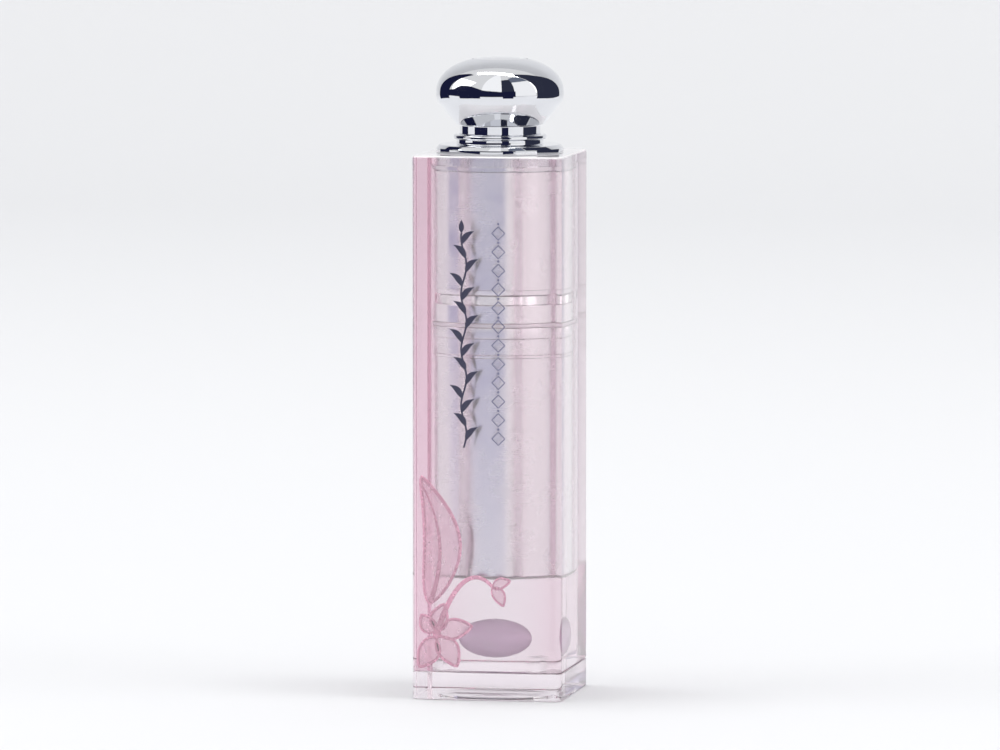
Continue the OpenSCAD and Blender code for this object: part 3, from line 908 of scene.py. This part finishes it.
def direction(azimuth, elevation):
    """Unit vector from the object towards a viewer; azimuth 0 is -Y, and positive is towards +X."""
    return Vector((math.sin(azimuth) * math.cos(elevation), -math.cos(azimuth) * math.cos(elevation),
                   math.sin(elevation)))


def camera():
    """Long lens a little to the +X side of the front; the stick fills VIEW_FILL of the picture's height."""
    aspect = 4 / 3
    data = bpy.data.cameras.new("camera")
    eye = bpy.data.objects.new("camera", data)
    bpy.context.scene.collection.objects.link(eye)
    towards = direction(VIEW_AZIMUTH, VIEW_ELEVATION)
    eye.location = STAGE_CENTRE + towards * VIEW_DISTANCE_M
    eye.rotation_euler = (-towards).to_track_quat("-Z", "Y").to_euler()
    height_m = CAD_BOX[1][2] - CAD_BOX[0][2]
    data.sensor_width = 36.0
    data.lens = data.sensor_width * VIEW_DISTANCE_M / (height_m / VIEW_FILL * aspect)
    data.clip_start, data.clip_end = 0.01, 20.0
    bpy.context.scene.camera = eye


def studio():
    """Pale floor that sweeps up into a backdrop. A hair of air under the foot keeps its clear face bright."""
    width_m, front_m, back_m, sweep_m, wall_m, steps = 6.0, -4.0, 0.9, 0.5, 3.0, 16
    air = 0.03
    floor_m = -air * MM
    line = [(front_m, floor_m), (back_m, floor_m)]
    line += [(back_m + sweep_m * math.sin(a), floor_m + sweep_m * (1 - math.cos(a)))
             for a in (math.pi / 2 * k / steps for k in range(1, steps + 1))]
    line.append((back_m + sweep_m, wall_m))
    mesh = bmesh.new()
    rows = [[mesh.verts.new((x, y, z)) for x in (-width_m / 2, width_m / 2)] for y, z in line]
    for a, b in zip(rows, rows[1:]):
        mesh.faces.new((a[0], a[1], b[1], b[0]))
    data = bpy.data.meshes.new("studio_sweep")
    mesh.to_mesh(data)
    mesh.free()
    for polygon in data.polygons:
        polygon.use_smooth = True
    sweep = bpy.data.objects.new("studio_sweep", data)
    bpy.context.scene.collection.objects.link(sweep)
    paper = principled("studio_paper", {"Base Color": (0.745, 0.75, 0.765, 1), "Roughness": 0.9})
    data.materials.append(paper)


def seen_panel(name, stations, tone, glow, seen_in, radius_m=0.33, steps=6):
    """Glowing panel on a sphere round the knob, which only reflections or only rays through clear parts see.

    Its stations are (azimuth, lowest elevation, highest elevation) in degrees, with the camera at azimuth 0.
    """
    centre = Vector((0, 0, KNOB_WIDEST * MM))
    mesh = bmesh.new()
    columns = []
    for azimuth, bottom, top in stations:
        column = []
        for k in range(steps + 1):
            elevation = math.radians(bottom + (top - bottom) * k / steps)
            point = centre + direction(VIEW_AZIMUTH + math.radians(azimuth), elevation) * radius_m
            column.append(mesh.verts.new(point))
        columns.append(column)
    for a, b in zip(columns, columns[1:]):
        for k in range(steps):
            mesh.faces.new((a[k], b[k], b[k + 1], a[k + 1]))
    stage_only(name, mesh, tone, glow, seen_in)


def stage_only(name, mesh, tone, glow, seen_in):
    """Glowing stage object from a bmesh, seen only in reflections or only through clear parts."""
    data = bpy.data.meshes.new(name)
    mesh.to_mesh(data)
    mesh.free()
    panel = bpy.data.objects.new(name, data)
    bpy.context.scene.collection.objects.link(panel)
    surface = principled(name, {"Base Color": (0, 0, 0, 1), "Roughness": 1.0, "Specular IOR Level": 0.0,
                                "Emission Color": (*tone, 1), "Emission Strength": glow})
    data.materials.append(surface)
    panel.visible_camera = panel.visible_diffuse = panel.visible_shadow = False
    panel.visible_glossy = seen_in == "reflections"
    panel.visible_transmission = seen_in == "clear parts"
    return surface


def room_for_chrome():
    """What bare chrome mirrors: two bright windows among dark walls, sills and posts, and a grey lintel."""
    navy, dusk, grey, white = (0.012, 0.014, 0.045), (0.03, 0.034, 0.06), (0.16, 0.18, 0.24), (1, 1, 1)
    seen = "reflections"
    seen_panel("left_wall", [(-138, -12, 4), (-118, -12, 58), (-104, -12, 62)], navy, 1.0, seen)
    seen_panel("left_sill", [(-104, -3, 8), (-92, -3, 12), (-80, -4, 26), (-60, -4, 28), (-30, -4, 14)],
               navy, 1.0, seen)
    seen_panel("left_post", [(-78, -14, -3.8), (-56, -14, -3.8), (-36, -14, -3.8)], navy, 1.0, seen)
    seen_panel("front_sill", [(-30, -4, 14), (0, -4, 10), (28, -4, 12)], navy, 1.0, seen)
    seen_panel("front_post", [(3, 9.8, 60), (26, 11.8, 62)], dusk, 1.0, seen)
    seen_panel("front_foot", [(5, -14, -3.8), (24, -14, -3.8)], navy, 1.0, seen)
    seen_panel("lintel", [(26, 48, 66), (68, 48, 70)], grey, 1.0, seen)
    seen_panel("right_wall", [(70, -14, 72), (90, -14, 76), (112, -12, 50), (134, -6, 2)], dusk, 1.0, seen)
    seen_panel("left_window", [(-34, 16, 84), (-15, 14, 84), (3, 12, 84)], white, 1.15, seen, radius_m=0.35)
    seen_panel("right_window", [(26, -2, 48), (47, -2, 48), (68, -2, 48)], white, 1.1, seen, radius_m=0.35)


def screen(name, stations, low_colour, high_colour):
    """Glowing upright screen round the stick, seen only through clear parts, shaded from low to high.

    Its stations are (azimuth in degrees from the camera, bottom in m, top in m).
    """
    radius_m, rows, shaded_mm = 0.19, 8, 54.0
    mesh = bmesh.new()
    columns = []
    for azimuth, bottom, top in stations:
        out = direction(VIEW_AZIMUTH + math.radians(azimuth), 0) * radius_m
        columns.append([mesh.verts.new((out.x, out.y, bottom + (top - bottom) * k / rows))
                        for k in range(rows + 1)])
    for a, b in zip(columns, columns[1:]):
        for k in range(rows):
            mesh.faces.new((a[k], b[k], b[k + 1], a[k + 1]))
    surface = stage_only(name, mesh, (1, 1, 1), 1.0, "clear parts")
    height = add(surface, "ShaderNodeSeparateXYZ", {"Vector": place(surface)}).outputs["Z"]
    up = spread(surface, height, 0.0, 1.0, 0.0, shaded_mm)
    feed(surface, shades(surface, up, low_colour, high_colour), "Emission Color")


def room_for_acrylic():
    """What shows in the barrel through the acrylic: lavender from the left to the front, then white."""
    lavender_top_m, white_top_m, white = 0.062, 0.07, (1.0, 1.0, 1.0)
    bottoms_m = ((-99, 0.026), (-75, 0.014), (-50, 0.004), (-25, 0.0), (0, 0.0), (29, 0.0))
    screen("lavender_screen", [(azimuth, bottom_m, lavender_top_m) for azimuth, bottom_m in bottoms_m],
           (0.60, 0.60, 0.78), (0.26, 0.28, 0.50))
    screen("white_screen", [(azimuth, 0.0, white_top_m) for azimuth in (29, 60, 90, 120)], white, white)


def area_light(name, azimuth, elevation, sides_m, power):
    """Soft rectangular light aimed at the object."""
    distance_m = 1.5
    data = bpy.data.lights.new(name, "AREA")
    data.shape, data.energy = "RECTANGLE", power
    data.size, data.size_y = sides_m
    lamp = bpy.data.objects.new(name, data)
    towards = direction(math.radians(azimuth), math.radians(elevation))
    lamp.location = STAGE_CENTRE + towards * distance_m
    lamp.rotation_euler = towards.to_track_quat("Z", "Y").to_euler()
    bpy.context.scene.collection.objects.link(lamp)


def lighting():
    """Bright, even studio: a white surround, a long narrow light overhead and a soft one from each side."""
    scene = bpy.context.scene
    scene.world = bpy.data.worlds.new("white_surround")
    scene.world.use_nodes = True
    surround = scene.world.node_tree.nodes["Background"]
    surround.inputs["Color"].default_value = (1.0, 1.0, 1.0, 1)
    surround.inputs["Strength"].default_value = 0.85
    area_light("overhead", azimuth=170, elevation=88, sides_m=(1.3, 0.22), power=9.0)
    area_light("left_soft", azimuth=-70, elevation=30, sides_m=(1.0, 1.0), power=5.0)
    area_light("right_soft", azimuth=80, elevation=25, sides_m=(1.0, 1.0), power=5.0)
    scene.view_settings.view_transform = "Standard"
    scene.cycles.use_denoising = True
    scene.cycles.max_bounces = 24
    scene.cycles.transmission_bounces = 20
    scene.cycles.glossy_bounces = 12
    scene.cycles.transparent_max_bounces = 12
    scene.cycles.blur_glossy = 0.3


for make in (sleeve, foot, insert, label, barrel, soft_ring, neck, balm, inner_cap, plate, knob_shell,
             knob_inlay, spring, vine_print, chain_print, petal_sprig, dress_inner_nodes, studio,
             room_for_chrome, room_for_acrylic, lighting, camera):
    make()
